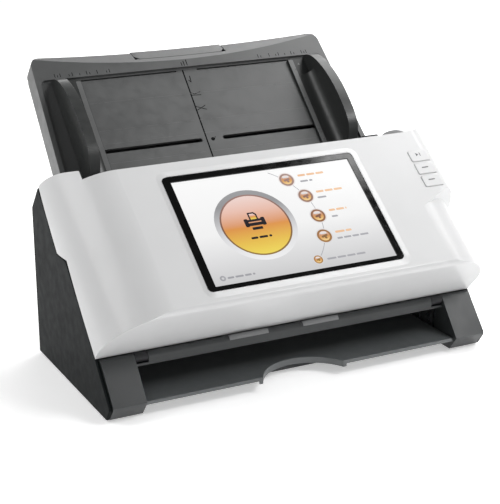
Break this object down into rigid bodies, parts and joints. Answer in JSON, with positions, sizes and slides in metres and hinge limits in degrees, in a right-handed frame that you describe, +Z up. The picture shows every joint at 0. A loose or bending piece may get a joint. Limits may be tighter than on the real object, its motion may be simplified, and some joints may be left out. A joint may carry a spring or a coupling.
{
  "type": "sheet fed document scanner",
  "caption": "Desktop sheet fed scanner with a tilted touch screen cover that hinges forward, a rear paper tray with sliding guides and an output bay below.",
  "frame": {"origin": "on the surface it stands on, under the middle of the whole object's box", "axes": "+X to the right seen from the front, +Y to the back, +Z up"},
  "size_m": [0.318, 0.2518, 0.2185],
  "materials": {
    "white_shell": "satin",
    "charcoal_casing": "satin",
    "grey_tray": "satin",
    "black_guide": "matte",
    "nylon": "satin",
    "steel": "brushed",
    "soft_rubber": "matte",
    "screen_glass": "gloss",
    "clear_glass": "gloss",
    "display": "gloss",
    "sensor": "matte",
    "circuit_board": "satin"
  },
  "bodies": {
    "base": {"base_pan": "charcoal_casing", "side_cover_left": "charcoal_casing", "side_cover_right": "charcoal_casing", "rear_cover": "charcoal_casing", "pillar_left": "charcoal_casing", "pillar_right": "charcoal_casing", "crossbeam": "charcoal_casing", "hinge_pins": "steel", "side_frame_left": "steel", "side_frame_right": "steel", "frame_screws": "steel", "shaft_bushes": "nylon", "lower_guide": "black_guide", "lower_scan_unit": "sensor", "lower_scan_glass": "clear_glass", "bay_liner": "charcoal_casing", "output_slab": "charcoal_casing", "rubber_feet": "soft_rubber", "motor": "steel", "main_board": "circuit_board", "dc_jack": "sensor", "usb_port": "sensor", "network_port": "sensor"},
    "cover": {"cover_shell": "white_shell", "upper_guide": "black_guide", "display_glass": "screen_glass", "display_panel": "display", "display_bracket": "black_guide", "control_boards": "circuit_board", "upper_scan_unit": "sensor", "upper_scan_glass": "clear_glass"},
    "pick_drive": {"pick_shaft": "steel", "pick_rollers": "soft_rubber", "pick_gear": "nylon"},
    "feed_drive": {"feed_shaft": "steel", "feed_rollers": "soft_rubber", "feed_gear": "nylon"},
    "exit_drive": {"exit_shaft": "steel", "exit_rollers": "soft_rubber", "exit_gear": "nylon"},
    "small_idler": {"small_idler_gear": "nylon"},
    "large_idler": {"large_idler_gear": "nylon"},
    "motor_rotor": {"motor_pinion": "steel"},
    "feed_pinch": {"feed_pinch_rollers": "soft_rubber"},
    "exit_pinch": {"exit_pinch_rollers": "soft_rubber"},
    "pad_arm": {"pad_holder": "black_guide", "separation_pad": "soft_rubber"},
    "latch": {"latch_hooks": "black_guide", "release_lever": "black_guide"},
    "button_top": {"button_top": "white_shell"},
    "button_middle": {"button_middle": "white_shell"},
    "button_bottom": {"button_bottom": "white_shell"},
    "tray": {"input_tray": "grey_tray", "tray_bottom": "grey_tray"},
    "extension": {"tray_extension": "grey_tray"},
    "guide_left": {"paper_guide_left": "grey_tray", "guide_rack_left": "nylon"},
    "guide_right": {"paper_guide_right": "grey_tray", "guide_rack_right": "nylon"},
    "rack_pinion": {"rack_pinion": "nylon"}
  },
  "joints": [
    {"name": "cover_hinge", "type": "hinge", "parent": "base", "child": "cover", "pos_m": [0, -0.09341, 0.038], "axis": [1, 0, 0], "range_deg": [0, 65]},
    {"name": "latch_pivot", "type": "hinge", "parent": "cover", "child": "latch", "pos_m": [0, -0.01607, 0.12517], "axis": [1, 0, 0], "range_deg": [-10, 0], "stiffness_Nm_per_rad": 0.3, "springref_deg": 8.59},
    {"name": "pad_pivot", "type": "hinge", "parent": "cover", "child": "pad_arm", "pos_m": [0, -0.00828, 0.10689], "axis": [1, 0, 0], "range_deg": [0, 5], "stiffness_Nm_per_rad": 0.4, "springref_deg": -11.46},
    {"name": "feed_pinch_spin", "type": "hinge", "parent": "cover", "child": "feed_pinch", "pos_m": [0, -0.01651, 0.09958], "axis": [1, 0, 0], "continuous": true},
    {"name": "exit_pinch_spin", "type": "hinge", "parent": "cover", "child": "exit_pinch", "pos_m": [0, -0.05555, 0.06227], "axis": [1, 0, 0], "continuous": true},
    {"name": "feed_spin", "type": "hinge", "parent": "base", "child": "feed_drive", "pos_m": [0, -0.00698, 0.0896], "axis": [1, 0, 0], "continuous": true},
    {"name": "large_idler_spin", "type": "hinge", "parent": "base", "child": "large_idler", "pos_m": [0, -0.0173, 0.06133], "axis": [1, 0, 0], "continuous": true},
    {"name": "exit_spin", "type": "hinge", "parent": "base", "child": "exit_drive", "pos_m": [0, -0.04602, 0.05229], "axis": [1, 0, 0], "continuous": true},
    {"name": "motor_spin", "type": "hinge", "parent": "base", "child": "motor_rotor", "pos_m": [0, 0.00211, 0.04101], "axis": [1, 0, 0], "continuous": true},
    {"name": "small_idler_spin", "type": "hinge", "parent": "base", "child": "small_idler", "pos_m": [0, 0.0091, 0.0887], "axis": [1, 0, 0], "continuous": true},
    {"name": "pick_spin", "type": "hinge", "parent": "base", "child": "pick_drive", "pos_m": [0, 0.00893, 0.1048], "axis": [1, 0, 0], "continuous": true},
    {"name": "tray_lift_off", "type": "slide", "parent": "base", "child": "tray", "axis": [0, 0.723, 0.6909], "range_m": [0, 0.03]},
    {"name": "extension_slide", "type": "slide", "parent": "tray", "child": "extension", "axis": [0, 0.723, 0.6909], "range_m": [0, 0.055]},
    {"name": "guide_left_slide", "type": "slide", "parent": "tray", "child": "guide_left", "axis": [1, 0, 0], "range_m": [0, 0.084]},
    {"name": "guide_right_slide", "type": "slide", "parent": "tray", "child": "guide_right", "axis": [-1, 0, 0], "range_m": [0, 0.084]},
    {"name": "rack_pinion_spin", "type": "hinge", "parent": "tray", "child": "rack_pinion", "pos_m": [0, 0.07695, 0.17257], "axis": [0, -0.6909, 0.723], "range_deg": [0, 344.77]},
    {"name": "button_top_press", "type": "slide", "parent": "cover", "child": "button_top", "axis": [0, 0.6004, -0.7997], "range_m": [0, 0.001], "stiffness_N_per_m": 400, "springref_m": -0.001},
    {"name": "button_middle_press", "type": "slide", "parent": "cover", "child": "button_middle", "axis": [0, 0.6004, -0.7997], "range_m": [0, 0.001], "stiffness_N_per_m": 400, "springref_m": -0.001},
    {"name": "button_bottom_press", "type": "slide", "parent": "cover", "child": "button_bottom", "axis": [0, 0.6004, -0.7997], "range_m": [0, 0.001], "stiffness_N_per_m": 400, "springref_m": -0.001}
  ],
  "couplings": [
    {"joint": "exit_spin", "follows": "feed_spin", "ratio": 1},
    {"joint": "pick_spin", "follows": "feed_spin", "ratio": 1},
    {"joint": "small_idler_spin", "follows": "feed_spin", "ratio": -1},
    {"joint": "large_idler_spin", "follows": "feed_spin", "ratio": -0.36364},
    {"joint": "motor_spin", "follows": "feed_spin", "ratio": 1.3333},
    {"joint": "guide_right_slide", "follows": "guide_left_slide", "ratio": 1},
    {"joint": "rack_pinion_spin", "follows": "guide_left_slide", "rad_per_m": 71.429}
  ]
}
